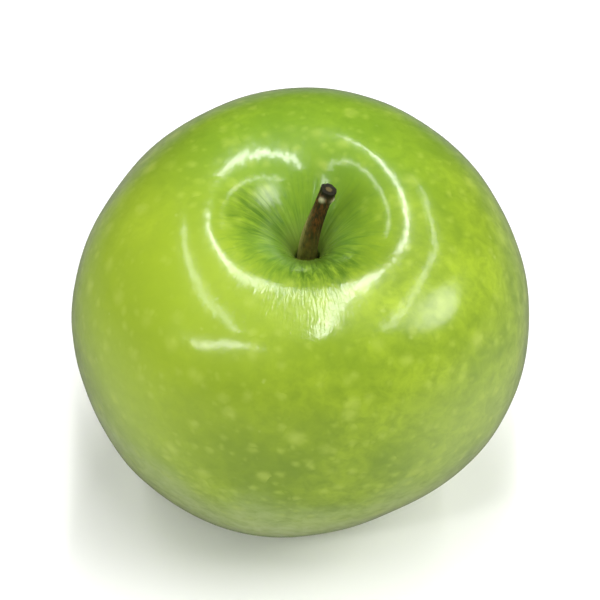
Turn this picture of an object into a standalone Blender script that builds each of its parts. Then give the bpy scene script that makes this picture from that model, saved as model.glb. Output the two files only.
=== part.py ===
# A whole green apple, standing upright on the five lobes round its eye.
#
# The fruit is one solid: a lopsided round body, narrower below, with a hollow for the stalk on top
# and a shallow basin for the calyx underneath. The stalk and the dried calyx are solids of their own.
# Metres, +Z up, origin under the middle of the fruit, on the surface that it stands on.
# The fruit's front, with its lower shoulder, faces -Y.

import math

import bmesh
import bpy
import numpy as np

MM = 0.001

# Fruit: the outline before it is evened out, as distances from the core line and heights
GIRTH_RADIUS = 38.0 * MM
GIRTH_HEIGHT = 35.6 * MM
CREST_RADIUS = 15.6 * MM
CREST_HEIGHT = 64.9 * MM
FOOT_RADIUS = 15.1 * MM
EYE_RADIUS = 3.2 * MM
EYE_HEIGHT = 7.4 * MM
THROAT_HEIGHT = 53.6 * MM
SOCKET_DEPTH = 3.0 * MM

# Fruit: how far each quarter of the outline bulges to its corner, at its start and its end
BASIN_BULGE = (0.30, 0.45)
FLANK_BULGE = (0.38, 0.37)
SHOULDER_BULGE = (0.61, 0.60)
HOLLOW_BULGE = (0.50, 0.15)
QUARTER_POINTS = 60
OUTLINE_POINTS = 241
EVENING_PASSES = 30

# Fruit: what makes it uneven, as shares of the radius, lengths, and directions in radians
OVAL = (0.012, -0.52)
THREE_SIDED = (0.023, 1.48)
LOBED = (0.011, 0.74)
LOBES = 5
LOBE_SHARE_AT_GIRTH = 0.15
FOOT_RISE = 1.2 * MM
FOOT_REACH = 11.0 * MM
CREST_WAVE = 0.5 * MM
CREST_REACH = 12.0 * MM
CREST_WAVE_TURNS = (0.5, 1.0)
FOOT_SHIFT = (-5.7 * MM, -2.5 * MM)
CROWN_SHIFT = (0.9 * MM, -2.4 * MM)
CROWN_SLOPE = (0.009, 0.024)
SHIFT_POWER = 1.5
ROUND_WITHIN = 3.0 * MM
UNEVEN_BEYOND = 10.0 * MM
FOOT_FLAT = 0.35 * MM
SEGMENTS = 80
RINGS = 52
RING_CROWDING = 0.35

# Stalk: woody, thick through its lower half and again at the scar on its tip
FIT_GAP = 0.35 * MM
STALK_LENGTH = 17.9 * MM
STALK_LEAN = (3.55 * MM, 1.2 * MM)
STALK_LATE_LEAN = 0.4
STALK_FOOT_RADIUS = 1.65 * MM
STALK_WAIST_RADIUS = 1.15 * MM
STALK_TIP_RADIUS = 1.34 * MM
STALK_TIP_SHARE = 0.2
STALK_SIDES = 16
STALK_RINGS = 28

# Stalk: two bud scars, as a share of its length and a direction in radians, and how far they spread
BUD_PLACES = ((0.915, -2.15), (0.925, -0.6))
BUD_SPREAD = (0.035, 0.45)
BUD_SWELLING = 0.4 * MM

# Stalk: the scar on its tip, from rim to middle, as shares of the tip's radius and of the relief
SCAR_RELIEF = 0.45 * MM
SCAR_RINGS = ((0.97, 0.16), (0.84, 0.26), (0.66, 0.10), (0.42, 0.02), (0.20, 0.08))

# Calyx: five dried sepals on a small disc that closes the eye
SEPALS = 5
DISC_RADIUS = 2.3 * MM
SEPAL_LENGTH = 5.6 * MM
NOTCH_LENGTH = 1.5 * MM
SEPAL_POINTEDNESS = 0.9
SEPAL_THICKNESS = 0.5 * MM
SEPAL_TIP_SHARE = 0.6
SEPAL_TURN = 0.3
INWARD_TURN = math.radians(119)
INWARD_BY = 0.25
OUTWARD_TURN = math.radians(126)
OUTWARD_FROM = 0.45
CALYX_START_SHARE = 0.12
CALYX_SEGMENTS = 40
CALYX_RINGS = 12
CALYX_STEPS = 40

# Finishes: colour (linear), roughness
SKIN_FINISH = ((0.36, 0.52, 0.045), 0.28)
STALK_FINISH = ((0.085, 0.042, 0.016), 0.7)
CALYX_FINISH = ((0.16, 0.11, 0.05), 0.85)


def remove_all_objects():
    """Empties the scene that the script is run in."""
    for thing in list(bpy.data.objects):
        bpy.data.objects.remove(thing)


def finish(name, colour, roughness):
    """A plain non-metal material."""
    material = bpy.data.materials.new(name)
    material.use_nodes = True
    shader = material.node_tree.nodes["Principled BSDF"]
    shader.inputs["Base Color"].default_value = (*colour, 1.0)
    shader.inputs["Roughness"].default_value = roughness
    shader.inputs["Metallic"].default_value = 0.0
    return material


def lofted(name, rings, material):
    """A closed solid through rings of points, with a fan of faces over the first ring and the last."""
    shape = bmesh.new()
    loops = [[shape.verts.new(point) for point in ring] for ring in rings]
    for lower, upper in zip(loops, loops[1:]):
        for i in range(len(lower)):
            j = (i + 1) % len(lower)
            shape.faces.new((lower[i], lower[j], upper[j], upper[i]))
    for loop, ring in ((loops[0], rings[0]), (loops[-1], rings[-1])):
        middle = shape.verts.new(np.mean(ring, axis=0))
        for i in range(len(loop)):
            shape.faces.new((loop[i], middle, loop[(i + 1) % len(loop)]))
    bmesh.ops.recalc_face_normals(shape, faces=shape.faces)
    mesh = bpy.data.meshes.new(name)
    shape.to_mesh(mesh)
    shape.free()
    mesh.shade_smooth()
    mesh.materials.append(material)
    thing = bpy.data.objects.new(name, mesh)
    bpy.context.scene.collection.objects.link(thing)
    return thing


def quarter_curve(start, end, bulge, leaves_level):
    """Points on a cubic curve that turns a quarter, pulled to the corner by a share at either end."""
    start = np.array(start)
    end = np.array(end)
    corner = np.array((end[0], start[1])) if leaves_level else np.array((start[0], end[1]))
    near = start + bulge[0] * (corner - start)
    far = end + bulge[1] * (corner - end)
    t = np.linspace(0.0, 1.0, QUARTER_POINTS)[:, None]
    return (1 - t) ** 3 * start + 3 * t * (1 - t) ** 2 * near + 3 * t**2 * (1 - t) * far + t**3 * end


def lengths_along(points):
    """Distance along a line of points, from its first point to each."""
    steps = np.linalg.norm(np.diff(points, axis=0), axis=1)
    return np.concatenate(((0.0,), np.cumsum(steps)))


def outline():
    """Radius and height from the eye's edge, round the flank and over the crest, to the throat.

    Four quarter curves meet at the foot, the girth and the crest. Averaging each point with its
    neighbours, many times over, evens out the curvature where they meet.
    """
    eye = (EYE_RADIUS, EYE_HEIGHT)
    foot = (FOOT_RADIUS, 0.0)
    girth = (GIRTH_RADIUS, GIRTH_HEIGHT)
    crest = (CREST_RADIUS, CREST_HEIGHT)
    throat = (STALK_FOOT_RADIUS + FIT_GAP, THROAT_HEIGHT)
    rough = np.concatenate(
        (
            quarter_curve(eye, foot, BASIN_BULGE, leaves_level=False),
            quarter_curve(foot, girth, FLANK_BULGE, leaves_level=True)[1:],
            quarter_curve(girth, crest, SHOULDER_BULGE, leaves_level=False)[1:],
            quarter_curve(crest, throat, HOLLOW_BULGE, leaves_level=True)[1:],
        )
    )
    along = lengths_along(rough)
    even = np.linspace(0.0, along[-1], OUTLINE_POINTS)
    points = np.stack([np.interp(even, along, rough[:, k]) for k in (0, 1)], axis=1)
    for _ in range(EVENING_PASSES):
        points[1:-1] = (points[:-2] + 2 * points[1:-1] + points[2:]) / 4
    return points


def window(along, middle, reach):
    """1 at the middle and 0 from reach onwards, as a squared cosine."""
    share = np.clip((along - middle) / reach, -1.0, 1.0)
    return np.cos(share * math.pi / 2) ** 2


def uneven_rings(points, angles):
    """Turns the outline round the core line and makes it uneven. It gives a point for each ring and angle.

    The plan is slightly oval, three-sided and, lower down, five-lobed. The foot lies to one side of
    the girth, the crown leans, the crest rises and falls, and the feet stand lower than the gaps
    between them. Close to the stalk and the eye the rings stay round.
    """
    radius, height = points[:, :1], points[:, 1:]
    along = lengths_along(points)[:, None]
    order = np.arange(len(points))[:, None]
    foot = int(np.argmin(points[: len(points) // 2, 1]))
    girth = int(np.argmax(points[:, 0]))
    crest = girth + int(np.argmax(points[girth:, 1]))
    low = np.where(order < foot, 1.0, np.clip(1.0 - height / GIRTH_HEIGHT, 0.0, 1.0)) ** SHIFT_POWER
    rise = (height - GIRTH_HEIGHT) / (CREST_HEIGHT - GIRTH_HEIGHT)
    high = np.where(order > crest, 1.0, np.clip(rise, 0.0, 1.0)) ** SHIFT_POWER
    share = np.clip((radius - ROUND_WITHIN) / (UNEVEN_BEYOND - ROUND_WITHIN), 0.0, 1.0)
    free = share * share * (3 - 2 * share)
    plan = OVAL[0] * np.cos(2 * (angles - OVAL[1]))
    plan = plan + THREE_SIDED[0] * np.cos(3 * (angles - THREE_SIDED[1]))
    plan = plan + LOBED[0] * np.cos(LOBES * (angles - LOBED[1])) * (LOBE_SHARE_AT_GIRTH + low)
    reach = radius * (1.0 + free * plan)
    x = reach * np.cos(angles) + FOOT_SHIFT[0] * low + CROWN_SHIFT[0] * high
    y = reach * np.sin(angles) + FOOT_SHIFT[1] * low + CROWN_SHIFT[1] * high
    gaps = (1.0 - np.cos(LOBES * (angles - LOBED[1]))) / 2
    waves = (np.cos(2 * (angles - CREST_WAVE_TURNS[0])) + np.cos(3 * (angles - CREST_WAVE_TURNS[1]))) / 2
    z = height + (CROWN_SLOPE[0] * x + CROWN_SLOPE[1] * y) * high * free
    z = z + FOOT_RISE * gaps * window(along, along[foot], FOOT_REACH)
    z = z + CREST_WAVE * waves * window(along, along[crest], CREST_REACH)
    return np.stack((x, y, z), axis=-1)


def fruit_rings():
    """Rings of the fruit's surface, standing at the origin with each foot worn flat at height 0."""
    points = outline()
    surface = uneven_rings(points, np.linspace(0.0, math.tau, SEGMENTS, endpoint=False))
    crowding = 1.0 / (RING_CROWDING * GIRTH_RADIUS + points[:, 0])
    density = np.concatenate(((0.0,), np.cumsum((crowding[1:] + crowding[:-1]) / 2)))
    wanted = np.linspace(0.0, density[-1], RINGS)
    place = np.interp(wanted, density, np.arange(OUTLINE_POINTS))
    before = np.minimum(place.astype(int), OUTLINE_POINTS - 2)
    part = (place - before)[:, None, None]
    rings = surface[before] * (1 - part) + surface[before + 1] * part
    lowest, highest = rings.min(axis=(0, 1)), rings.max(axis=(0, 1))
    middle = (lowest + highest) / 2
    rings = rings - (middle[0], middle[1], lowest[2] + FOOT_FLAT)
    rings[..., 2] = np.maximum(rings[..., 2], 0.0)
    return rings


def make_fruit(rings):
    """The flesh and skin as one solid, with a socket sunk below the throat for the stalk's foot."""
    socket_floor = rings[-1] - (0.0, 0.0, SOCKET_DEPTH)
    return lofted("fruit", [*rings, socket_floor], finish("apple_skin", *SKIN_FINISH))


def stalk_radius(t):
    """Foot to waist to tip: stays thick low down, eases in, and swells over the last share of the length."""
    near_foot = (1 - t**2) ** 2
    near_tip = np.clip((t - 1 + STALK_TIP_SHARE) / STALK_TIP_SHARE, 0, 1) ** 2
    wider_foot = STALK_FOOT_RADIUS - STALK_WAIST_RADIUS
    wider_tip = STALK_TIP_RADIUS - STALK_WAIST_RADIUS
    return STALK_WAIST_RADIUS + wider_foot * near_foot + wider_tip * near_tip


def bud_swelling(t, angles):
    """Height of the two old bud scars below the tip, each a smooth bump."""
    total = np.zeros_like(angles)
    for place, turn in BUD_PLACES:
        off = (angles - turn + math.pi) % math.tau - math.pi
        total += np.exp(-(((t - place) / BUD_SPREAD[0]) ** 2) - (off / BUD_SPREAD[1]) ** 2)
    return BUD_SWELLING * total


def make_stalk(foot):
    """A bowed woody stalk from the foot of its socket, with bud scars and a dished scar on its tip."""
    foot = np.array(foot)
    up = np.array((0.0, 0.0, STALK_LENGTH))
    lean = np.array((*STALK_LEAN, 0.0))
    control = (foot, foot + up / 3, foot + up * 2 / 3 + lean * STALK_LATE_LEAN, foot + up + lean)
    angles = np.linspace(0.0, math.tau, STALK_SIDES, endpoint=False)
    rings = []
    for t in np.linspace(0.0, 1.0, STALK_RINGS):
        weights = ((1 - t) ** 3, 3 * t * (1 - t) ** 2, 3 * t**2 * (1 - t), t**3)
        centre = sum(w * p for w, p in zip(weights, control))
        slopes = (3 * (1 - t) ** 2, 6 * t * (1 - t), 3 * t**2)
        heading = sum(w * (q - p) for w, p, q in zip(slopes, control, control[1:]))
        heading /= np.linalg.norm(heading)
        side = np.cross((0.0, 1.0, 0.0), heading)
        side /= np.linalg.norm(side)
        front = np.cross(heading, side)
        reach = stalk_radius(t) + bud_swelling(t, angles)
        ring = centre + reach[:, None] * (np.outer(np.cos(angles), side) + np.outer(np.sin(angles), front))
        rings.append(ring)
    tip, centre = rings[-1], rings[-1].mean(axis=0)
    for share, lift in SCAR_RINGS:
        rings.append(centre + share * (tip - centre) + heading * lift * SCAR_RELIEF)
    return lofted("stalk", rings, finish("stalk_bark", *STALK_FINISH))


def sepal_path(distance):
    """Where the calyx's open side is at a distance from its middle, as a radius, a drop and a heading.

    It is level out to the disc's edge. Then it turns down and inwards, and further on outwards again.
    """
    walked = np.linspace(0.0, 1.0, CALYX_STEPS)[:, None] * distance
    past = np.clip(walked - DISC_RADIUS, 0.0, None) / (SEPAL_LENGTH - NOTCH_LENGTH)
    heading = INWARD_TURN * np.clip(past / INWARD_BY, 0.0, 1.0)
    heading = heading - OUTWARD_TURN * np.clip(past - OUTWARD_FROM, 0.0, None)
    step = distance / (CALYX_STEPS - 1)
    return np.cos(heading)[:-1].sum(axis=0) * step, np.sin(heading)[:-1].sum(axis=0) * step, heading[-1]


def make_calyx(eye):
    """The dried calyx: a disc with five pointed sepals that lean together and turn out at their tips."""
    angles = SEPAL_TURN + np.linspace(0.0, math.tau, CALYX_SEGMENTS, endpoint=False)
    half = math.pi / SEPALS
    off_tip = np.abs((angles - SEPAL_TURN + half) % (2 * half) - half) / half
    point = (1.0 - off_tip) ** SEPAL_POINTEDNESS
    reach = DISC_RADIUS + NOTCH_LENGTH + (SEPAL_LENGTH - NOTCH_LENGTH) * point
    flesh_side, open_side = [], []
    for share in np.linspace(CALYX_START_SHARE, 1.0, CALYX_RINGS):
        radius, drop, heading = sepal_path(reach * share)
        thickness = SEPAL_THICKNESS * (1 - (1 - SEPAL_TIP_SHARE) * share)
        flesh_side.append(ring_at(eye, angles, radius, drop))
        inner_radius = radius - thickness * np.sin(heading)
        open_side.append(ring_at(eye, angles, inner_radius, drop + thickness * np.cos(heading)))
    rings = [*open_side, *reversed(flesh_side)]
    return lofted("calyx", rings, finish("dried_sepals", *CALYX_FINISH))


def ring_at(middle, angles, radius, drop):
    """A ring of points round a vertical line through the middle, lower by the drop."""
    x = middle[0] + radius * np.cos(angles)
    y = middle[1] + radius * np.sin(angles)
    return np.stack((x, y, middle[2] - drop), axis=-1)


def main():
    """Builds the three solids, each set in the fruit by the shape of its hollow."""
    remove_all_objects()
    rings = fruit_rings()
    make_fruit(rings)
    socket = rings[-1].mean(axis=0)
    make_stalk(socket - (0.0, 0.0, SOCKET_DEPTH - FIT_GAP))
    eye = rings[0].mean(axis=0)
    make_calyx(eye - (0.0, 0.0, FIT_GAP))


main()
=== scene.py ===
import math

import bpy
import numpy as np
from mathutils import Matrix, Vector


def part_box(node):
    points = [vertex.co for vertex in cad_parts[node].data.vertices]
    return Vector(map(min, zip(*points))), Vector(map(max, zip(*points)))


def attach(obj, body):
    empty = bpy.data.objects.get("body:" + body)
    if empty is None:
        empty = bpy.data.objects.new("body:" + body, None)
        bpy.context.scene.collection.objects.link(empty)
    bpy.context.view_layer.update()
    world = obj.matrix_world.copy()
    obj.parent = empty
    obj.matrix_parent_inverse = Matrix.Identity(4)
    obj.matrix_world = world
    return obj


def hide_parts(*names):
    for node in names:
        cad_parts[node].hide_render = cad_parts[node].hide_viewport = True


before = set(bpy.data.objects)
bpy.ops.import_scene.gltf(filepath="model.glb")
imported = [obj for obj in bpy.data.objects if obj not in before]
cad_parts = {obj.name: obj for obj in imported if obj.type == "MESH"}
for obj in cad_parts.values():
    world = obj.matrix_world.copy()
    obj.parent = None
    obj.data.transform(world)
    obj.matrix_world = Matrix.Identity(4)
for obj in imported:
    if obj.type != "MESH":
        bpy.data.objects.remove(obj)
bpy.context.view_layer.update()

# The fruit, its shape
# One whole green apple: a round body that narrows to five low lobes, a hollow round the stalk and a
# shallow basin round the calyx. It grew lopsided, with a low front shoulder. Sizes are in millimetres.

MM = 0.001
GIRTH = (38.0, 35.6)
CREST = (15.6, 64.9)
FOOT = (15.1, 0.0)
EYE = (3.2, 7.4)
THROAT = (2.0, 53.6)
BASIN_BULGE = (0.30, 0.45)
FLANK_BULGE = (0.38, 0.37)
SHOULDER_BULGE = (0.61, 0.60)
HOLLOW_BULGE = (0.50, 0.15)
QUARTER_POINTS = 240
OUTLINE_POINTS = 961
EVENING_PASSES = 480
OVAL = (0.012, -0.52)
THREE_SIDED = (0.023, 1.48)
LOBED = (0.011, 0.74)
LOBES = 5
LOBE_SHARE_AT_GIRTH = 0.15
FOOT_RISE = 1.2
FOOT_REACH = 11.0
CREST_WAVE = 0.5
CREST_REACH = 12.0
CREST_WAVE_TURNS = (0.5, 1.0)
FOOT_SHIFT = (-5.7, -2.5)
CROWN_SHIFT = (0.9, -2.4)
CROWN_SLOPE = (0.009, 0.024)
SHIFT_POWER = 1.5
ROUND_WITHIN = 3.0
UNEVEN_BEYOND = 10.0
FOOT_FLAT = 0.35
RING_CROWDING = 0.35
RINGS = 256
SEGMENTS = 336


def quarter_curve(start, end, bulge, leaves_level):
    """Cubic curve through a quarter turn. Its handles lie on the way to the corner, at the bulge's shares."""
    start, end = np.array(start), np.array(end)
    corner = np.array((end[0], start[1])) if leaves_level else np.array((start[0], end[1]))
    near = start + bulge[0] * (corner - start)
    far = end + bulge[1] * (corner - end)
    t = np.linspace(0.0, 1.0, QUARTER_POINTS)[:, None]
    return (1 - t) ** 3 * start + 3 * t * (1 - t) ** 2 * near + 3 * t**2 * (1 - t) * far + t**3 * end


def lengths_along(points):
    """Distance along a line of points: the running sum of its steps."""
    steps = np.linalg.norm(np.diff(points, axis=0), axis=1)
    return np.concatenate(((0.0,), np.cumsum(steps)))


def outline():
    """Radius and height from eye to throat: four quarter curves, then each point averaged with its two."""
    basin = quarter_curve(EYE, FOOT, BASIN_BULGE, leaves_level=False)
    flank = quarter_curve(FOOT, GIRTH, FLANK_BULGE, leaves_level=True)
    shoulder = quarter_curve(GIRTH, CREST, SHOULDER_BULGE, leaves_level=False)
    hollow = quarter_curve(CREST, THROAT, HOLLOW_BULGE, leaves_level=True)
    rough = np.concatenate((basin, flank[1:], shoulder[1:], hollow[1:]))
    along = lengths_along(rough)
    even = np.linspace(0.0, along[-1], OUTLINE_POINTS)
    points = np.stack([np.interp(even, along, rough[:, k]) for k in (0, 1)], axis=1)
    for _ in range(EVENING_PASSES):
        points[1:-1] = (points[:-2] + 2 * points[1:-1] + points[2:]) / 4
    return points


def smooth(share):
    """Eases from 0 to 1: three times the square less twice the cube, flat outside."""
    share = np.clip(share, 0.0, 1.0)
    return share * share * (3 - 2 * share)


def uneven_rings(points, angles):
    """The outline turned round the core and made uneven.

    Radius times one plus cosines of two, three and five turns. Foot and crown shift sideways by the
    1.5 power of the distance from the girth. A squared cosine of the length along the outline lifts
    the gaps between the feet, and another waves the crest.
    """
    radius, height = points[:, :1], points[:, 1:]
    along = lengths_along(points)[:, None]
    order = np.arange(len(points))[:, None]
    foot = int(np.argmin(points[: len(points) // 2, 1]))
    girth = int(np.argmax(points[:, 0]))
    crest = girth + int(np.argmax(points[girth:, 1]))
    low = np.where(order < foot, 1.0, np.clip(1.0 - height / GIRTH[1], 0.0, 1.0)) ** SHIFT_POWER
    rise = (height - GIRTH[1]) / (CREST[1] - GIRTH[1])
    high = np.where(order > crest, 1.0, np.clip(rise, 0.0, 1.0)) ** SHIFT_POWER
    free = smooth((radius - ROUND_WITHIN) / (UNEVEN_BEYOND - ROUND_WITHIN))
    plan = OVAL[0] * np.cos(2 * (angles - OVAL[1])) + THREE_SIDED[0] * np.cos(3 * (angles - THREE_SIDED[1]))
    plan = plan + LOBED[0] * np.cos(LOBES * (angles - LOBED[1])) * (LOBE_SHARE_AT_GIRTH + low)
    reach = radius * (1.0 + free * plan)
    x = reach * np.cos(angles) + FOOT_SHIFT[0] * low + CROWN_SHIFT[0] * high
    y = reach * np.sin(angles) + FOOT_SHIFT[1] * low + CROWN_SHIFT[1] * high
    gaps = (1.0 - np.cos(LOBES * (angles - LOBED[1]))) / 2
    waves = (np.cos(2 * (angles - CREST_WAVE_TURNS[0])) + np.cos(3 * (angles - CREST_WAVE_TURNS[1]))) / 2
    at_foot = np.cos(np.clip((along - along[foot]) / FOOT_REACH, -1, 1) * math.pi / 2) ** 2
    at_crest = np.cos(np.clip((along - along[crest]) / CREST_REACH, -1, 1) * math.pi / 2) ** 2
    z = height + (CROWN_SLOPE[0] * x + CROWN_SLOPE[1] * y) * high * free
    z = z + FOOT_RISE * gaps * at_foot + CREST_WAVE * waves * at_crest
    return np.stack((x, y, z), axis=-1)


def spaced_rings(surface, points):
    """Picks the rings of the finished mesh, closer together towards the core, between the outline's own."""
    crowding = 1.0 / (RING_CROWDING * GIRTH[0] + points[:, 0])
    density = np.concatenate(((0.0,), np.cumsum((crowding[1:] + crowding[:-1]) / 2)))
    place = np.interp(np.linspace(0.0, density[-1], RINGS), density, np.arange(OUTLINE_POINTS))
    before = np.minimum(place.astype(int), OUTLINE_POINTS - 2)
    part = (place - before)[:, None, None]
    return surface[before] * (1 - part) + surface[before + 1] * part


def stood(rings):
    """Moves the fruit to stand at the origin, sunk by its flat feet and cut off at height 0."""
    lowest, highest = rings.min(axis=(0, 1)), rings.max(axis=(0, 1))
    middle = (lowest + highest) / 2
    moved = rings - (middle[0], middle[1], lowest[2] + FOOT_FLAT)
    moved[..., 2] = np.maximum(moved[..., 2], 0.0)
    return moved


def outward(rings):
    """Unit normals of a closed ring surface: the step round it crossed with the step up it."""
    round_step = np.roll(rings, -1, axis=1) - np.roll(rings, 1, axis=1)
    normal = np.cross(round_step, np.gradient(rings, axis=0))
    return normal / np.linalg.norm(normal, axis=-1, keepdims=True)


angles = np.linspace(0.0, math.tau, SEGMENTS, endpoint=False)
outline_points = outline()
fruit = stood(spaced_rings(uneven_rings(outline_points, angles), outline_points))
throat = fruit[-1].mean(axis=0)
eye = fruit[0].mean(axis=0)

# The fruit, its relief
# Grown skin is never a true curve: it has faint swells and dents a centimetre or two across, and fine
# folds that run out from the stalk and from the calyx.

SWELL_HEIGHT = 0.13
SWELL_LENGTHS = (9.0, 26.0)
SWELL_WAVES = 24
SWELLS_FADE_BELOW = 6.0
FOLD_HEIGHT = 0.075
FOLD_COUNTS = (9, 14, 19, 26, 33)
FOLD_DRIFT = 0.12
FOLDS_START = (1.9, 2.0)
FOLD_REACH = 7.5
SOCKET_RINGS = ((0.985, 0.12), (0.955, 0.35), (0.935, 0.8), (0.93, 1.8), (0.93, 2.9), (0.5, 3.0))
EYE_RINGS = (0.25, 0.5, 0.75, 0.9)
EYE_DOME = 0.3


def swells(place, seed):
    """Sum of sine waves through space, each with its own heading, length and phase, longer ones higher."""
    draw = np.random.default_rng(seed)
    heading = draw.normal(size=(SWELL_WAVES, 3))
    heading /= np.linalg.norm(heading, axis=1, keepdims=True)
    length = draw.uniform(*SWELL_LENGTHS, SWELL_WAVES)
    phase = draw.uniform(0.0, math.tau, SWELL_WAVES)
    waves = np.sin(place @ (heading * math.tau / length[:, None]).T + phase)
    return waves @ (length / length.sum()) * math.sqrt(SWELL_WAVES)


def folds(place, middle, seed):
    """Cosines of the angle round a middle, each with a phase that drifts outwards, fading as a bell curve."""
    draw = np.random.default_rng(seed)
    aside = place[..., :2] - middle[:2]
    angle, distance = np.arctan2(aside[..., 1], aside[..., 0]), np.linalg.norm(aside, axis=-1)
    total = np.zeros_like(angle)
    for count in FOLD_COUNTS:
        phase, drift = draw.uniform(0.0, math.tau), draw.uniform(-FOLD_DRIFT, FOLD_DRIFT)
        total += np.cos(count * angle + phase + drift * distance) / len(FOLD_COUNTS)
    started = smooth((distance - FOLDS_START[0]) / FOLDS_START[1])
    return total * np.exp(-((distance / FOLD_REACH) ** 2)) * started


def fitted(points, node):
    """Stretches points, in millimetres, by a hair to fill the box of the solid that they stand for."""
    low, high = (np.array(corner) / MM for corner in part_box(node))
    flat = points.reshape(-1, 3)
    share = (flat - flat.min(axis=0)) / np.ptp(flat, axis=0)
    return (low + share * (high - low)).reshape(points.shape)


def ring_faces(rows, columns):
    """Quads between neighbouring rings, and a fan to a pole after the last ring and one before the first."""
    index = np.arange(rows * columns).reshape(rows, columns)
    turned = np.roll(index, -1, axis=1)
    quads = np.stack((index[:-1], turned[:-1], turned[1:], index[1:]), axis=-1).reshape(-1, 4)
    first = np.stack((turned[0], index[0], np.full(columns, rows * columns)), axis=-1)
    last = np.stack((index[-1], turned[-1], np.full(columns, rows * columns + 1)), axis=-1)
    return quads.tolist() + first.tolist() + last.tolist()


def closed_piece(name, rings, material):
    """A closed, smooth-shaded mesh object over rings of points in millimetres, with a vertex at each pole."""
    poles = rings[[0, -1]].mean(axis=1)
    points = np.concatenate((rings.reshape(-1, 3), poles)) * MM
    mesh = bpy.data.meshes.new(name)
    mesh.from_pydata(points.tolist(), [], ring_faces(*rings.shape[:2]))
    mesh.shade_smooth()
    mesh.materials.append(material)
    made = bpy.data.objects.new(name, mesh)
    bpy.context.scene.collection.objects.link(made)
    return made


relief = SWELL_HEIGHT * swells(fruit, seed=11) * smooth(fruit[..., 2] / SWELLS_FADE_BELOW)
above = fruit[..., 2] > GIRTH[1]
relief = relief + FOLD_HEIGHT * np.where(above, folds(fruit, throat, seed=3), folds(fruit, eye, seed=5))
skin = fruit + outward(fruit) * relief[..., None]
skin[..., 2] = np.maximum(skin[..., 2], 0.0)
socket = [throat + share * (skin[-1] - throat) - (0.0, 0.0, drop) for share, drop in SOCKET_RINGS]
lid = [eye + share * (skin[0] - eye) + (0.0, 0.0, EYE_DOME * (1 - share**2)) for share in EYE_RINGS]
skin = fitted(np.stack((*lid, *skin, *socket)), "fruit")

# The fruit, its finish
# Green apple skin, washed and waxed for sale. The eye sees thin clear wax over a mottled lime green, with
# yellower clouds, pale pores, a paler foot, and deeper green streaks that run out of the two hollows.
# Some of the colour is painted light: shade on the back of the crown, the front flank and the hollows' walls,
# light at the bottom of the hollows, and a reflection of the pale floor on the foot and low sides.
# A fade gives where a tint starts and where it is whole, and a band gives the part of the noise that is used.

SKIN_GREEN = "#819B24"
SKIN_YELLOW = "#9EB62E"
CROWN_SHADE_GREEN = "#6A9524"
MOTTLE_AND_SHADE_GREEN = "#6A861A"
FOOT_PALE_AND_REFLECTION = "#BFCC90"
HOLLOW_GREEN = "#5A8426"
HOLLOW_SHADE = "#466614"
HOLLOW_PALE = "#789C32"
THROAT_PAINTED_LIGHT = "#94AA52"
FLECK_YELLOW = "#BFD05A"
PORE_PALE = "#D3DD88"
CLOUD_SIZE = 13.0
CLOUD_BAND = (0.38, 0.66)
MOTTLE_SIZE = 2.4
MOTTLE_BAND = (0.36, 0.7)
MOTTLE_DEPTH = 0.55
FOOT_FADE = (35.0, 11.0)
FOOT_MOST = 0.84
FOOT_MOTTLE = (1.0, 0.6)
DRIFT_SIZE = 12.0
DRIFT_BAND = (0.3, 0.7)
FOOT_DRIFT = 4.5
TINT_SHADE_AND_REFLECTION_PATCHES = (
    ((-24.0, -18.0, 54.0), (42.0, 8.0), 0.7, SKIN_YELLOW),
    # Painted shade on the back of the crown, deeper green.
    ((2.0, 14.0, 60.0), (34.0, 8.0), 0.6, CROWN_SHADE_GREEN),
    # Painted shade on the front flank, deeper olive.
    ((-4.0, -36.0, 48.0), (24.0, 6.0), 0.32, MOTTLE_AND_SHADE_GREEN),
    # A painted reflection of the pale floor, low on both front sides.
    ((29.0, -28.0, 36.0), (24.0, 4.0), 0.2, FOOT_PALE_AND_REFLECTION),
    ((-33.0, -21.0, 32.0), (24.0, 4.0), 0.2, FOOT_PALE_AND_REFLECTION),
)
HOLLOWS = ((eye, (18.0, 6.0), 0.6), (throat, (46.0, 56.0), 0.95))
HOLLOW_REACH = (5.0, 15.0)
HOLLOW_SHIFT = (-0.7, -4.0, 0.0)
SHADED_WALLS = (((2.0, -9.5, 0.0), (9.0, 2.5), 0.95), ((-8.5, 2.0, 0.0), (7.5, 2.0), 0.6))
THROAT_LIGHT_FADE = (5.5, 2.0)
THROAT_LIGHT_MOST = 0.5
FAN_STRETCH = 0.018
STREAKS_ROUND = 13.0
STREAK_BAND = (0.34, 0.66)
STRAND_REACH = 12.0
STRAND_HEIGHT = 0.02
RIDGES_ROUND = 50.0
RIDGE_STRETCH = 0.8
RIDGE_BAND = (27.0, 21.0)
RIDGE_WAY = (-0.25, -1.0, 0.0)
RIDGE_SECTOR = (0.74, 0.92)
RIDGE_LEAST = 0.1
RIDGE_HEIGHT = 0.028
PEEL_SIZE = 2.0
PEEL_HEIGHT = 0.045
CROWN_FADE = (62.0, 45.0)
CROWN_SPOTS = 0.75
SPOT_SMALLEST = 0.35
SPOT_FAINTEST = 0.2
SPOTS = (
    (4.8, 2.3, 0.5, FLECK_YELLOW),
    (4.6, 0.65, 0.26, PORE_PALE),
    (2.3, 1.3, 0.36, FLECK_YELLOW),
)
WANDER_SIZE = 1.6
WANDER = 1.1
SKIN_ROUGHNESS = (0.32, 0.44)
SKIN_IOR = 1.42
SKIN_SPECULAR = 0.2
FLESH_SHARE = 0.12
FLESH_RADIUS = (1.0, 0.9, 0.25)
FLESH_DEPTH = 2.0
WAX_ROUGHNESS = 0.16
WAX_IOR = 1.45


def linear(code):
    """An sRGB hex colour as linear red, green, blue and alpha, by the sRGB transfer curve."""
    values = [int(code[k : k + 2], 16) / 255 for k in (1, 3, 5)]
    return (*(v / 12.92 if v <= 0.04045 else ((v + 0.055) / 1.055) ** 2.4 for v in values), 1.0)


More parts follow.
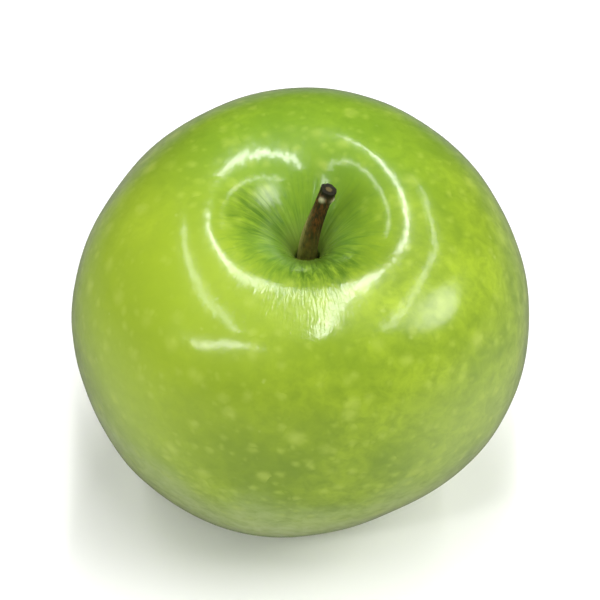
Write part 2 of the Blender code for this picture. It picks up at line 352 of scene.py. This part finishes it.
def node(tree, kind, inputs, **settings):
    """Adds one shader node with its settings, and fills each named input from a value or from an output."""
    made = tree.nodes.new(f"ShaderNode{kind}")
    for name, value in settings.items():
        setattr(made, name, value)
    for name, value in inputs.items():
        if isinstance(value, bpy.types.NodeSocket):
            tree.links.new(value, made.inputs[name])
        else:
            made.inputs[name].default_value = value
    return made


def new_material(name):
    """An empty node material with its shader and its object coordinates in millimetres."""
    material = bpy.data.materials.new(name)
    material.use_nodes = True
    tree = material.node_tree
    place = node(tree, "TexCoord", {}).outputs["Object"]
    place = node(tree, "VectorMath", {0: place, "Scale": 1 / MM}, operation="SCALE").outputs[0]
    return material, tree, tree.nodes["Principled BSDF"], place


def painted(tree, shader, colour, coats):
    """Lays coats of colour over the first one, each by its share, and hands the result to the shader.

    A Mix node keeps its share at input 0 and its two colours at inputs 6 and 7.
    """
    for share, coat in coats:
        colour = node(tree, "Mix", {0: share, 6: colour, 7: coat}, data_type="RGBA").outputs[2]
    tree.links.new(colour, shader.inputs["Base Color"])


waxed_skin, tree, shader, place = new_material("waxed_green_apple_skin")
height = node(tree, "SeparateXYZ", {0: place}).outputs["Z"]

# Under the wax: yellower clouds, a fine deeper mottle, and broad patches: a yellower left shoulder,
# painted shade on the back of the crown and on the front flank, and a painted reflection of the floor low on
# both sides.
clouds = node(tree, "TexNoise", {"Vector": place, "Scale": 1 / CLOUD_SIZE, "Detail": 3.0}).outputs[0]
clouds = {"Value": clouds, "From Min": CLOUD_BAND[0], "From Max": CLOUD_BAND[1]}
clouds = node(tree, "MapRange", clouds).outputs[0]
mottle = {"Vector": place, "Scale": 1 / MOTTLE_SIZE, "Detail": 4.0, "Roughness": 0.62, "Distortion": 0.4}
mottle = node(tree, "TexNoise", mottle).outputs[0]
mottle = {"Value": mottle, "From Min": MOTTLE_BAND[0], "From Max": MOTTLE_BAND[1]}
mottle = node(tree, "MapRange", mottle).outputs[0]
deep = node(tree, "Math", {0: mottle, 1: MOTTLE_DEPTH}, operation="MULTIPLY").outputs[0]
coats = [(clouds, linear(SKIN_YELLOW)), (deep, linear(MOTTLE_AND_SHADE_GREEN))]
for middle, reach, most, tint in TINT_SHADE_AND_REFLECTION_PATCHES:
    away = node(tree, "VectorMath", {0: place, 1: middle}, operation="DISTANCE").outputs["Value"]
    away = {"Value": away, "From Min": reach[0], "From Max": reach[1], "To Max": most}
    away = node(tree, "MapRange", away, interpolation_type="SMOOTHSTEP").outputs[0]
    coats.append((away, linear(tint)))

# The foot is paler: partly its own paler green, partly a painted reflection of the pale floor. Its edge
# drifts up and down, and the mottle breaks it.
drift = node(tree, "TexNoise", {"Vector": place, "Scale": 1 / DRIFT_SIZE, "Detail": 3.0}).outputs[0]
drift = {
    "Value": drift,
    "From Min": DRIFT_BAND[0],
    "From Max": DRIFT_BAND[1],
    "To Min": -FOOT_DRIFT,
    "To Max": FOOT_DRIFT,
}
drift = node(tree, "MapRange", drift).outputs[0]
drifted = node(tree, "Math", {0: height, 1: drift}, operation="ADD").outputs[0]
pale_and_reflected = {"Value": drifted, "From Min": FOOT_FADE[0], "From Max": FOOT_FADE[1], "To Max": FOOT_MOST}
pale_and_reflected = node(tree, "MapRange", pale_and_reflected, interpolation_type="SMOOTHSTEP").outputs[0]
broken = {"Value": mottle, "To Min": FOOT_MOTTLE[0], "To Max": FOOT_MOTTLE[1]}
broken = node(tree, "MapRange", broken).outputs[0]
pale_and_reflected = node(tree, "Math", {0: pale_and_reflected, 1: broken}, operation="MULTIPLY").outputs[0]
coats.append((pale_and_reflected, linear(FOOT_PALE_AND_REFLECTION)))

# How far pores show: less on the crown, and less where the foot pales. In the hollows they fade out too.
open_skin = {"Value": height, "From Min": CROWN_FADE[0], "From Max": CROWN_FADE[1], "To Min": CROWN_SPOTS}
open_skin = node(tree, "MapRange", open_skin).outputs[0]
unpaled = node(tree, "Math", {0: 1.0, 1: pale_and_reflected}, operation="SUBTRACT").outputs[0]
open_skin = node(tree, "Math", {0: open_skin, 1: unpaled}, operation="MULTIPLY").outputs[0]

# In each hollow, streaks fan out from the middle: noise on the heading, drawn long over the distance.
# They end raggedly at the rim. Painted shade darkens them on the near and left walls, and a painted
# light lifts the bottom of each hollow, next to the stalk or the calyx.
for middle, edge, most in HOLLOWS:
    aside = node(tree, "VectorMath", {0: place, 1: tuple(middle)}, operation="SUBTRACT").outputs[0]
    level = node(tree, "VectorMath", {0: aside, 1: (1.0, 1.0, 0.0)}, operation="MULTIPLY").outputs[0]
    distance = node(tree, "VectorMath", {0: level}, operation="LENGTH").outputs["Value"]
    heading = node(tree, "VectorMath", {0: level}, operation="NORMALIZE").outputs[0]
    stretched = node(tree, "Math", {0: distance, 1: FAN_STRETCH}, operation="MULTIPLY").outputs[0]
    stretched = node(tree, "CombineXYZ", {"Z": stretched}).outputs[0]
    fan = node(tree, "VectorMath", {0: heading, 1: stretched}, operation="ADD").outputs[0]
    streaks = {"Vector": fan, "Scale": STREAKS_ROUND, "Detail": 4.0, "Roughness": 0.6, "Distortion": 0.5}
    streaks = node(tree, "TexNoise", streaks).outputs[0]
    strands = {"Value": streaks, "To Min": STRAND_REACH / 2, "To Max": -STRAND_REACH / 2}
    strands = node(tree, "MapRange", strands, clamp=False).outputs[0]
    shifted = node(tree, "VectorMath", {0: level, 1: HOLLOW_SHIFT}, operation="DISTANCE").outputs["Value"]
    ragged = node(tree, "Math", {0: shifted, 1: strands}, operation="ADD").outputs[0]
    near = {"Value": ragged, "From Min": HOLLOW_REACH[1], "From Max": HOLLOW_REACH[0], "To Max": most}
    near = node(tree, "MapRange", near, interpolation_type="SMOOTHSTEP").outputs[0]
    side = node(tree, "MapRange", {"Value": height, "From Min": edge[0], "From Max": edge[1]}).outputs[0]
    share = node(tree, "Math", {0: near, 1: side}, operation="MULTIPLY").outputs[0]
    streaks = {"Value": streaks, "From Min": STREAK_BAND[0], "From Max": STREAK_BAND[1]}
    streaks = node(tree, "MapRange", streaks).outputs[0]
    streaked = {0: streaks, 6: linear(HOLLOW_PALE), 7: linear(HOLLOW_GREEN)}
    streaked = node(tree, "Mix", streaked, data_type="RGBA").outputs[2]
    coats.append((share, streaked))
    # Painted shade on the near and left walls, laid along the streaks.
    for shift, reach, darkest_shade in SHADED_WALLS:
        wall_shade = node(tree, "VectorMath", {0: level, 1: shift}, operation="DISTANCE").outputs["Value"]
        wall_shade = {"Value": wall_shade, "From Min": reach[0], "From Max": reach[1], "To Max": darkest_shade}
        wall_shade = node(tree, "MapRange", wall_shade, interpolation_type="SMOOTHSTEP").outputs[0]
        wall_shade = node(tree, "Math", {0: wall_shade, 1: side}, operation="MULTIPLY").outputs[0]
        wall_shade = node(tree, "Math", {0: wall_shade, 1: streaks}, operation="MULTIPLY").outputs[0]
        coats.append((wall_shade, linear(HOLLOW_SHADE)))
    # Painted light at the bottom of the hollow, where the walls close in.
    bottom_light = {"Value": distance, "From Min": THROAT_LIGHT_FADE[0], "From Max": THROAT_LIGHT_FADE[1], "To Max": THROAT_LIGHT_MOST}
    bottom_light = node(tree, "MapRange", bottom_light, interpolation_type="SMOOTHSTEP").outputs[0]
    bottom_light = node(tree, "Math", {0: bottom_light, 1: side}, operation="MULTIPLY").outputs[0]
    coats.append((bottom_light, linear(THROAT_PAINTED_LIGHT)))
    outside = node(tree, "Math", {0: 1.0, 1: share}, operation="SUBTRACT").outputs[0]
    open_skin = node(tree, "Math", {0: open_skin, 1: outside}, operation="MULTIPLY").outputs[0]

# Pores on the open skin: a soft spot in each cell of three sizes of cells, of a size and strength by chance.
wander = node(tree, "TexNoise", {"Vector": place, "Scale": 1 / WANDER_SIZE}).outputs["Color"]
wander = node(tree, "VectorMath", {0: wander, "Scale": WANDER}, operation="SCALE").outputs[0]
wandering = node(tree, "VectorMath", {0: place, 1: wander}, operation="ADD").outputs[0]
for spacing, radius, strength, tint in SPOTS:
    cells = node(tree, "TexVoronoi", {"Vector": wandering, "Scale": 1 / spacing})
    chance = node(tree, "SeparateColor", {0: cells.outputs["Color"]}).outputs[0]
    size = {"Value": chance, "To Min": SPOT_SMALLEST * radius / spacing, "To Max": radius / spacing}
    size = node(tree, "MapRange", size).outputs[0]
    most = {"Value": chance, "To Min": SPOT_FAINTEST * strength, "To Max": strength}
    most = node(tree, "MapRange", most).outputs[0]
    spot = {"Value": cells.outputs["Distance"], "From Min": size, "From Max": 0.0, "To Max": most}
    spot = node(tree, "MapRange", spot, interpolation_type="SMOOTHSTEP").outputs[0]
    shown = node(tree, "Math", {0: spot, 1: open_skin}, operation="MULTIPLY").outputs[0]
    coats.append((shown, linear(tint)))
painted(tree, shader, linear(SKIN_GREEN), coats)

# The relief under the wax: a fine peel all over, the strands of the stalk's hollow, and ridges on the
# shoulder in front of it, which break the light there into short streaks.
peel = node(tree, "TexNoise", {"Vector": place, "Scale": 1 / PEEL_SIZE, "Detail": 2.0}).outputs[0]
strands = node(tree, "Math", {0: streaks, 1: share}, operation="MULTIPLY").outputs[0]
dashes = node(tree, "VectorMath", {0: fan, 1: (1.0, 1.0, RIDGE_STRETCH)}, operation="MULTIPLY").outputs[0]
ridges = node(tree, "TexNoise", {"Vector": dashes, "Scale": RIDGES_ROUND, "Detail": 2.0}).outputs[0]
band = {"Value": distance, "From Min": RIDGE_BAND[0], "From Max": RIDGE_BAND[1]}
band = node(tree, "MapRange", band, interpolation_type="SMOOTHSTEP").outputs[0]
ahead = node(tree, "VectorMath", {0: heading, 1: RIDGE_WAY}, operation="DOT_PRODUCT").outputs["Value"]
ahead = {"Value": ahead, "From Min": RIDGE_SECTOR[0], "From Max": RIDGE_SECTOR[1], "To Min": RIDGE_LEAST}
ahead = node(tree, "MapRange", ahead).outputs[0]
ridges = node(tree, "Math", {0: ridges, 1: band}, operation="MULTIPLY").outputs[0]
ridges = node(tree, "Math", {0: ridges, 1: ahead}, operation="MULTIPLY").outputs[0]
bump = node(tree, "Bump", {"Height": peel, "Distance": PEEL_HEIGHT * MM, "Strength": 1.0}).outputs[0]
for form, most in ((strands, STRAND_HEIGHT), (ridges, RIDGE_HEIGHT)):
    bump = {"Height": form, "Distance": most * MM, "Strength": 1.0, "Normal": bump}
    bump = node(tree, "Bump", bump).outputs[0]
tree.links.new(bump, shader.inputs["Normal"])
tree.links.new(bump, shader.inputs["Coat Normal"])

# Dull skin that lets light a little way into the flesh, under a clear coat of wax.
rough = {"Value": mottle, "To Min": SKIN_ROUGHNESS[0], "To Max": SKIN_ROUGHNESS[1]}
tree.links.new(node(tree, "MapRange", rough).outputs[0], shader.inputs["Roughness"])
shader.inputs["IOR"].default_value = SKIN_IOR
shader.inputs["Specular IOR Level"].default_value = SKIN_SPECULAR
shader.inputs["Subsurface Weight"].default_value = FLESH_SHARE
shader.inputs["Subsurface Radius"].default_value = FLESH_RADIUS
shader.inputs["Subsurface Scale"].default_value = FLESH_DEPTH * MM
shader.inputs["Coat Weight"].default_value = 1.0
shader.inputs["Coat Roughness"].default_value = WAX_ROUGHNESS
shader.inputs["Coat IOR"].default_value = WAX_IOR

apple_skin = closed_piece("apple_skin", skin, waxed_skin)
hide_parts("fruit")
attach(apple_skin, "root")

# The stalk
# A short woody stalk, grown into the hollow. Its thin dark bark has fine ridges along it. It is olive
# where it leaves the fruit, with two old bud scars near the picked tip. A painted light makes its lower
# left side paler, and the bud scars are painted pale, partly their own colour and partly a painted highlight.

FIT_GAP = 0.35
SOCKET_DEPTH = 3.0
STALK_LENGTH = 17.9
STALK_LEAN = (3.55, 1.2)
STALK_LATE_LEAN = 0.4
STALK_FOOT_RADIUS = 1.65
STALK_WAIST_RADIUS = 1.15
STALK_TIP_RADIUS = 1.34
STALK_TIP_SHARE = 0.2
STALK_SIDES = 96
STALK_RINGS = 260
BUD_PLACES = ((0.915, -2.15), (0.925, -0.6))
BUD_SPREAD = (0.035, 0.45)
BUD_SWELLING = 0.4
BARK_RIDGES = ((5, 0.05), (9, 0.045), (16, 0.03), (27, 0.018))
BARK_PHASE = 1.7
BARK_TWIST = 2.5
BARK_BREAKS = 9
SCAR_RELIEF = 0.45
SCAR_SHARES = (1.0, 0.97, 0.84, 0.66, 0.42, 0.20, 0.0)
SCAR_LIFTS = (0.0, 0.16, 0.26, 0.10, 0.02, 0.08, 0.1)
SCAR_STEPS = 30
SCAR_INNERMOST = 0.96
PITH_EDGE = (0.5, 0.25)
RIM_EDGE = (0.93, 0.06)
LIT_SIDE_WAY = 3.0
LIT_SIDE_TOP = (0.85, 0.3)
LIT_SIDE_NARROWNESS = 4
BARK_DARK = "#2F2A0C"
BARK_RED = "#764818"
BARK_OLIVE = "#727030"
BARK_PAINTED_LIGHT = "#A49C5C"
RIM_DARK = "#1E1C08"
PITH_PALE = "#5A502E"
BUD_PALE_AND_HIGHLIGHT = "#AFAD84"
FIBRES_PER_MM = (3.2, 3.2, 0.45)
FIBRE_BAND = (0.44, 0.68)
FIBRE_HEIGHT = 0.12
OLIVE_FADE = (0.62, 0.15)
OLIVE_MOST = 0.85
BLOTCHES_PER_MM = 1.1
BLOTCH_BAND = (0.45, 0.75)
BLOTCH_MOST = 0.55
BARK_ROUGHNESS = 0.65
BARK_SPECULAR = 0.3


def stalk_rings(turn):
    """Circles carried along a cubic curve. The radius eases in from the foot and out to the tip.

    To the radius are added bud bumps, as bell curves, and bark ridges, as cosines of the angle that
    drift and fade along the length. The last rings shrink to the middle, along the scar's relief.
    """
    foot = throat - (0.0, 0.0, SOCKET_DEPTH - FIT_GAP)
    up, lean = np.array((0.0, 0.0, STALK_LENGTH)), np.array((*STALK_LEAN, 0.0))
    control = (foot, foot + up / 3, foot + up * 2 / 3 + lean * STALK_LATE_LEAN, foot + up + lean)
    t = np.linspace(0.0, 1.0, STALK_RINGS)[:, None]
    weights = ((1 - t) ** 3, 3 * t * (1 - t) ** 2, 3 * t**2 * (1 - t), t**3)
    slopes = (3 * (1 - t) ** 2, 6 * t * (1 - t), 3 * t**2)
    centre = sum(w * p for w, p in zip(weights, control))
    heading = sum(w * (q - p) for w, p, q in zip(slopes, control, control[1:]))
    heading /= np.linalg.norm(heading, axis=1, keepdims=True)
    side = np.cross((0.0, 1.0, 0.0), heading)
    side /= np.linalg.norm(side, axis=1, keepdims=True)
    front = np.cross(heading, side)
    radius = STALK_WAIST_RADIUS + (STALK_FOOT_RADIUS - STALK_WAIST_RADIUS) * (1 - t**2) ** 2
    at_tip = np.clip((t - 1) / STALK_TIP_SHARE + 1, 0, 1)
    radius = radius + (STALK_TIP_RADIUS - STALK_WAIST_RADIUS) * at_tip**2
    buds = np.zeros((STALK_RINGS, STALK_SIDES))
    for at, way in BUD_PLACES:
        off = (turn - way + math.pi) % math.tau - math.pi
        buds = buds + np.exp(-(((t - at) / BUD_SPREAD[0]) ** 2) - (off / BUD_SPREAD[1]) ** 2)
    bark = np.zeros_like(buds)
    for count, ridge in BARK_RIDGES:
        twisted = count * turn + BARK_PHASE * count + (BARK_TWIST + count % 4) * t
        bark = bark + ridge * np.cos(twisted) * np.sin(count + BARK_BREAKS * t)
    reach = radius + BUD_SWELLING * buds + bark
    across = np.cos(turn)[:, None] * side[:, None, :] + np.sin(turn)[:, None] * front[:, None, :]
    rings = centre[:, None, :] + reach[..., None] * across
    inward = np.linspace(0.0, SCAR_INNERMOST, SCAR_STEPS + 1)[1:]
    share = 1.0 - inward
    lift = np.interp(inward, 1.0 - np.array(SCAR_SHARES), SCAR_LIFTS) * SCAR_RELIEF
    middle = rings[-1].mean(axis=0)
    scar = middle + share[:, None, None] * (rings[-1] - middle) + (lift[:, None] * heading[-1])[:, None, :]
    return np.concatenate((rings, scar)), buds, share


def paint(piece, name, values):
    """Stores one number for each vertex of a ring surface, and the mean of the nearest ring for each pole."""
    layer = piece.data.attributes.new(name, "FLOAT", "POINT")
    flat = np.concatenate((values.ravel(), (values[0].mean(), values[-1].mean())))
    layer.data.foreach_set("value", flat.astype(np.float32))


stalk_turn = np.linspace(0.0, math.tau, STALK_SIDES, endpoint=False)
stalk, buds, scar_share = stalk_rings(stalk_turn)
up_stalk = np.concatenate((np.linspace(0.0, 1.0, STALK_RINGS), np.ones(SCAR_STEPS)))[:, None]
pith = np.concatenate((np.zeros(STALK_RINGS), smooth((PITH_EDGE[0] - scar_share) / PITH_EDGE[1])))[:, None]
rim = smooth((up_stalk - RIM_EDGE[0]) / RIM_EDGE[1]) * (1 - pith)
# The lower left side is painted lighter: a painted light where light falls on it.
one_side = np.clip(np.cos(stalk_turn - LIT_SIDE_WAY), 0.0, 1.0) ** LIT_SIDE_NARROWNESS
painted_lit_side = smooth((LIT_SIDE_TOP[0] - up_stalk) / LIT_SIDE_TOP[1]) * one_side
# The bud bumps are painted pale: partly their own paler bark, partly a painted highlight.
bud = np.concatenate((smooth(buds), np.zeros((SCAR_STEPS, STALK_SIDES))))
stalk_marks = {"along": up_stalk, "painted_lit_side": painted_lit_side, "pith": pith, "rim": rim, "bud": bud}

# Dull, dry bark: fibres drawn out along the stalk give it reddish lines on near black, and dark blotches.
picked_bark, tree, shader, place = new_material("apple_stalk_bark")
marks = {name: node(tree, "Attribute", {}, attribute_name=name).outputs["Fac"] for name in stalk_marks}
drawn_out = node(tree, "VectorMath", {0: place, 1: FIBRES_PER_MM}, operation="MULTIPLY").outputs[0]
fibre = {"Vector": drawn_out, "Scale": 1.0, "Detail": 5.0, "Roughness": 0.62}
fibre = node(tree, "TexNoise", fibre).outputs[0]
reddish = {"Value": fibre, "From Min": FIBRE_BAND[0], "From Max": FIBRE_BAND[1]}
reddish = node(tree, "MapRange", reddish).outputs[0]
olive = {"Value": marks["along"], "From Min": OLIVE_FADE[0], "From Max": OLIVE_FADE[1], "To Max": OLIVE_MOST}
olive = node(tree, "MapRange", olive).outputs[0]
blotch = node(tree, "TexNoise", {"Vector": place, "Scale": BLOTCHES_PER_MM, "Detail": 3.0}).outputs[0]
blotch = {"Value": blotch, "From Min": BLOTCH_BAND[0], "From Max": BLOTCH_BAND[1], "To Max": BLOTCH_MOST}
blotch = node(tree, "MapRange", blotch).outputs[0]
coats = [
    (reddish, linear(BARK_RED)),
    (olive, linear(BARK_OLIVE)),
    # Painted light on the lower left side.
    (marks["painted_lit_side"], linear(BARK_PAINTED_LIGHT)),
    (blotch, linear(RIM_DARK)),
    # Pale buds, partly a painted highlight.
    (marks["bud"], linear(BUD_PALE_AND_HIGHLIGHT)),
    (marks["rim"], linear(RIM_DARK)),
    (marks["pith"], linear(PITH_PALE)),
]
painted(tree, shader, linear(BARK_DARK), coats)
bump = node(tree, "Bump", {"Height": fibre, "Distance": FIBRE_HEIGHT * MM, "Strength": 1.0})
tree.links.new(bump.outputs[0], shader.inputs["Normal"])
shader.inputs["Roughness"].default_value = BARK_ROUGHNESS
shader.inputs["Specular IOR Level"].default_value = BARK_SPECULAR

apple_stalk = closed_piece("apple_stalk", fitted(stalk, "stalk"), picked_bark)
for name, values in stalk_marks.items():
    paint(apple_stalk, name, np.broadcast_to(values, stalk.shape[:2]))
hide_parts("stalk")
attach(apple_stalk, "root")

# The calyx
# What is left of the flower, dried in the basin under the fruit: a disc that closes the eye and five
# brown pointed sepals that lean together and turn out at their tips, with crisp wavy edges.

SEPALS = 5
DISC_RADIUS = 2.3
SEPAL_LENGTH = 5.6
NOTCH_LENGTH = 1.5
SEPAL_POINTEDNESS = 0.9
SEPAL_THICKNESS = 0.5
SEPAL_TIP_SHARE = 0.6
SEPAL_TURN = 0.3
INWARD_TURN = math.radians(119)
INWARD_BY = 0.25
OUTWARD_TURN = math.radians(126)
OUTWARD_FROM = 0.45
SEPAL_EDGE_THINNING = 0.45
CALYX_SEGMENTS = 200
CALYX_RINGS = 70
CALYX_STEPS = 80
CALYX_INNERMOST = 0.12
CALYX_WRINKLE = 0.07
WRINKLE_COUNTS = (35, 50)
WRINKLE_DRIFT = (1.0, 5)
SEPAL_BROWN = "#5B4527"
SEPAL_GREY = "#8C8058"
SEPAL_DARK = "#33240F"
FUZZ_PER_MM = 1.6
FUZZ_BAND = (0.35, 0.66)
FUZZ_HEIGHT = 0.15
CRACKS_PER_MM = 3.5
CRACK_BAND = (0.55, 0.72)
CRACK_MOST = 0.8
SEPAL_ROUGHNESS = 0.85


def calyx_rings():
    """The disc and sepals as one closed skin: out along the open side, and back along the flesh side.

    Each point is walked from the middle along a heading that turns down and inwards past the disc, and
    then outwards again. How far it goes is a pointed wave of the angle, five times round. Wrinkles
    along each sepal are cosines of the angle that grow with the distance.
    """
    angle = SEPAL_TURN + np.linspace(0.0, math.tau, CALYX_SEGMENTS, endpoint=False)
    half = math.pi / SEPALS
    off_tip = np.abs((angle - SEPAL_TURN + half) % (2 * half) - half) / half
    reach = DISC_RADIUS + NOTCH_LENGTH + (SEPAL_LENGTH - NOTCH_LENGTH) * (1.0 - off_tip) ** SEPAL_POINTEDNESS
    share = np.linspace(CALYX_INNERMOST, 1.0, CALYX_RINGS)[:, None]
    walked = np.linspace(0.0, 1.0, CALYX_STEPS)[:, None, None] * (share * reach)
    past = np.clip(walked - DISC_RADIUS, 0.0, None) / (SEPAL_LENGTH - NOTCH_LENGTH)
    heading = INWARD_TURN * np.clip(past / INWARD_BY, 0.0, 1.0)
    heading = heading - OUTWARD_TURN * np.clip(past - OUTWARD_FROM, 0.0, None)
    step = share * reach / (CALYX_STEPS - 1)
    radius = np.cos(heading)[:-1].sum(axis=0) * step
    drop = np.sin(heading)[:-1].sum(axis=0) * step
    end = heading[-1]
    drifting = WRINKLE_COUNTS[1] * angle + WRINKLE_DRIFT[0] + WRINKLE_DRIFT[1] * share
    wrinkle = CALYX_WRINKLE * share * (np.cos(WRINKLE_COUNTS[0] * angle) + np.cos(drifting)) / 2
    thickness = SEPAL_THICKNESS * (1 - (1 - SEPAL_TIP_SHARE) * share) * (1 - SEPAL_EDGE_THINNING * share**6)
    flesh_side = (radius - wrinkle * np.sin(end), drop + wrinkle * np.cos(end))
    depth = thickness + wrinkle
    open_side = (radius - depth * np.sin(end), drop + depth * np.cos(end))
    sides = []
    for out, down in (open_side, flesh_side):
        middle = eye - (0.0, 0.0, FIT_GAP)
        x, y = middle[0] + out * np.cos(angle), middle[1] + out * np.sin(angle)
        sides.append(np.stack((x, y, middle[2] - down), axis=-1))
    return np.concatenate((sides[0], sides[1][::-1]))


# Dead leaf, dry and dull: a grey down over brown, with dark cracks.
dried_sepals, tree, shader, place = new_material("dried_apple_sepals")
fuzz = {"Vector": place, "Scale": FUZZ_PER_MM, "Detail": 6.0, "Roughness": 0.7}
fuzz = node(tree, "TexNoise", fuzz).outputs[0]
grey = {"Value": fuzz, "From Min": FUZZ_BAND[0], "From Max": FUZZ_BAND[1]}
grey = node(tree, "MapRange", grey).outputs[0]
cracks = node(tree, "TexNoise", {"Vector": place, "Scale": CRACKS_PER_MM, "Detail": 4.0}).outputs[0]
cracks = {"Value": cracks, "From Min": CRACK_BAND[0], "From Max": CRACK_BAND[1], "To Max": CRACK_MOST}
cracks = node(tree, "MapRange", cracks).outputs[0]
painted(tree, shader, linear(SEPAL_BROWN), [(grey, linear(SEPAL_GREY)), (cracks, linear(SEPAL_DARK))])
bump = node(tree, "Bump", {"Height": fuzz, "Distance": FUZZ_HEIGHT * MM, "Strength": 1.0})
tree.links.new(bump.outputs[0], shader.inputs["Normal"])
shader.inputs["Roughness"].default_value = SEPAL_ROUGHNESS

apple_calyx = closed_piece("apple_calyx", fitted(calyx_rings(), "calyx"), dried_sepals)
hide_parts("calyx")
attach(apple_calyx, "root")

# The stage
# A wide, pale, matt floor under a pale sky, which is dimmer overhead. The sky lights the fruit but isn't
# seen in its gloss, and the floor is seen there only dimly and near by, so the lamps draw all highlights.

FLOOR_HALF = 3.0
FLOOR_WHITE = "#F9F9F7"
FLOOR_ROUGHNESS = 0.7
GLOSS_SHARE = 0.16
GLOSS_FADE = (40.0, 500.0)
SKY_WHITE = "#F7F9FF"
SKY_AXIS = (0.0, 0.45, 0.9)
SKY_FROM = -0.45
SKY_LOW = 0.86
SKY_HIGH = 0.08

matt_floor, tree, shader, place = new_material("matt_white_floor")
from_middle = node(tree, "VectorMath", {0: place}, operation="LENGTH").outputs["Value"]
dim = {
    "Value": from_middle,
    "From Min": GLOSS_FADE[0],
    "From Max": GLOSS_FADE[1],
    "To Min": GLOSS_SHARE,
    "To Max": 0.0,
}
dim = node(tree, "MapRange", dim, interpolation_type="SMOOTHSTEP").outputs[0]
in_gloss = node(tree, "LightPath", {}).outputs["Is Glossy Ray"]
painted(tree, shader, linear(FLOOR_WHITE), [(in_gloss, dim)])
shader.inputs["Roughness"].default_value = FLOOR_ROUGHNESS
floor_mesh = bpy.data.meshes.new("floor")
corners = [(x * FLOOR_HALF, y * FLOOR_HALF, 0.0) for x, y in ((-1, -1), (1, -1), (1, 1), (-1, 1))]
floor_mesh.from_pydata(corners, [], [(0, 1, 2, 3)])
floor_mesh.materials.append(matt_floor)
floor = bpy.data.objects.new("floor", floor_mesh)
bpy.context.scene.collection.objects.link(floor)

sky = bpy.data.worlds.new("pale_sky")
bpy.context.scene.world = sky
sky.cycles_visibility.glossy = False
sky.use_nodes = True
tree = sky.node_tree
background = tree.nodes["Background"]
background.inputs["Color"].default_value = linear(SKY_WHITE)
upwards = node(tree, "TexCoord", {}).outputs["Generated"]
upwards = node(tree, "VectorMath", {0: upwards, 1: SKY_AXIS}, operation="DOT_PRODUCT").outputs["Value"]
dimmed = {"Value": upwards, "From Min": SKY_FROM, "To Min": SKY_LOW, "To Max": SKY_HIGH}
dimmed = node(tree, "MapRange", dimmed).outputs[0]
tree.links.new(dimmed, background.inputs["Strength"])

# The lamps
# Three long strip lamps hang side by side over the fruit and run from its front to well behind it. The
# middle one draws the bright ring round the crest, and the other two the streaks on the shoulders. A soft
# panel, veiled towards its edges, hangs to the right, and a short bar hangs in front on the left.

LAMP_HEIGHT = 1.05
STRIP_WIDTHS = (0.05, 0.06, 0.05)
STRIP_ENDS = (-0.34, 0.86)
STRIP_PLACES = (-0.48, 0.02, 0.45)
STRIP_POWERS = (3.2, 7.6, 2.8)
BAR_PLACE = (-1.0, -0.8)
BAR_SIZE = (1.15, 0.17)
BAR_POWER = 8.0
BAR_TURN = 0.32
PANEL_PLACE = (1.22, -0.08)
PANEL_SIZE = (1.8, 1.15)
PANEL_POWER = 45.0
VEIL_FADE = (0.5, 0.22)


def area_lamp(name, place, size, power, turn=0.0):
    """A rectangular lamp that shines straight down, turned about the vertical, at a place in lamp heights."""
    lamp = bpy.data.lights.new(name, "AREA")
    lamp.shape = "RECTANGLE"
    lamp.size, lamp.size_y = size
    lamp.energy = power
    hung = bpy.data.objects.new(name, lamp)
    hung.location = (place[0] * LAMP_HEIGHT, place[1] * LAMP_HEIGHT, LAMP_HEIGHT)
    hung.rotation_euler = (0.0, 0.0, turn)
    bpy.context.scene.collection.objects.link(hung)
    return lamp


strip_length = (STRIP_ENDS[1] - STRIP_ENDS[0]) * LAMP_HEIGHT
strip_middle = (STRIP_ENDS[1] + STRIP_ENDS[0]) / 2
for number, (aside, width, power) in enumerate(zip(STRIP_PLACES, STRIP_WIDTHS, STRIP_POWERS)):
    area_lamp(f"strip_lamp_{number}", (aside, strip_middle), (width, strip_length), power)
area_lamp("front_bar", BAR_PLACE, BAR_SIZE, BAR_POWER, turn=BAR_TURN)
panel = area_lamp("right_panel", PANEL_PLACE, PANEL_SIZE, PANEL_POWER)
panel.use_nodes = True
tree = panel.node_tree
across = node(tree, "NewGeometry", {}).outputs["Parametric"]
across = node(tree, "VectorMath", {0: across, 1: (0.5, 0.5, 0.0)}, operation="DISTANCE").outputs["Value"]
veiled = {"Value": across, "From Min": VEIL_FADE[0], "From Max": VEIL_FADE[1]}
veiled = node(tree, "MapRange", veiled, interpolation_type="SMOOTHSTEP").outputs[0]
tree.links.new(veiled, tree.nodes["Emission"].inputs["Strength"])

# The camera
# It looks down on the fruit from the front at 52 degrees, from about an arm's length, with a long lens
# that takes in a little more than the fruit.

VIEW_DISTANCE = 0.6
VIEW_ELEVATION = math.radians(52)
VIEW_WIDTH = 0.101
VIEW_TARGET = (0.0, 0.001, 0.0355)
SENSOR_WIDTH = 36.0

bpy.context.scene.view_settings.view_transform = "Standard"
optics = bpy.data.cameras.new("camera")
optics.sensor_width = SENSOR_WIDTH
optics.lens = SENSOR_WIDTH * VIEW_DISTANCE / VIEW_WIDTH
camera = bpy.data.objects.new("camera", optics)
back, up = math.cos(VIEW_ELEVATION) * VIEW_DISTANCE, math.sin(VIEW_ELEVATION) * VIEW_DISTANCE
camera.location = (VIEW_TARGET[0], VIEW_TARGET[1] - back, VIEW_TARGET[2] + up)
camera.rotation_euler = (math.pi / 2 - VIEW_ELEVATION, 0.0, 0.0)
bpy.context.scene.collection.objects.link(camera)
bpy.context.scene.camera = camera
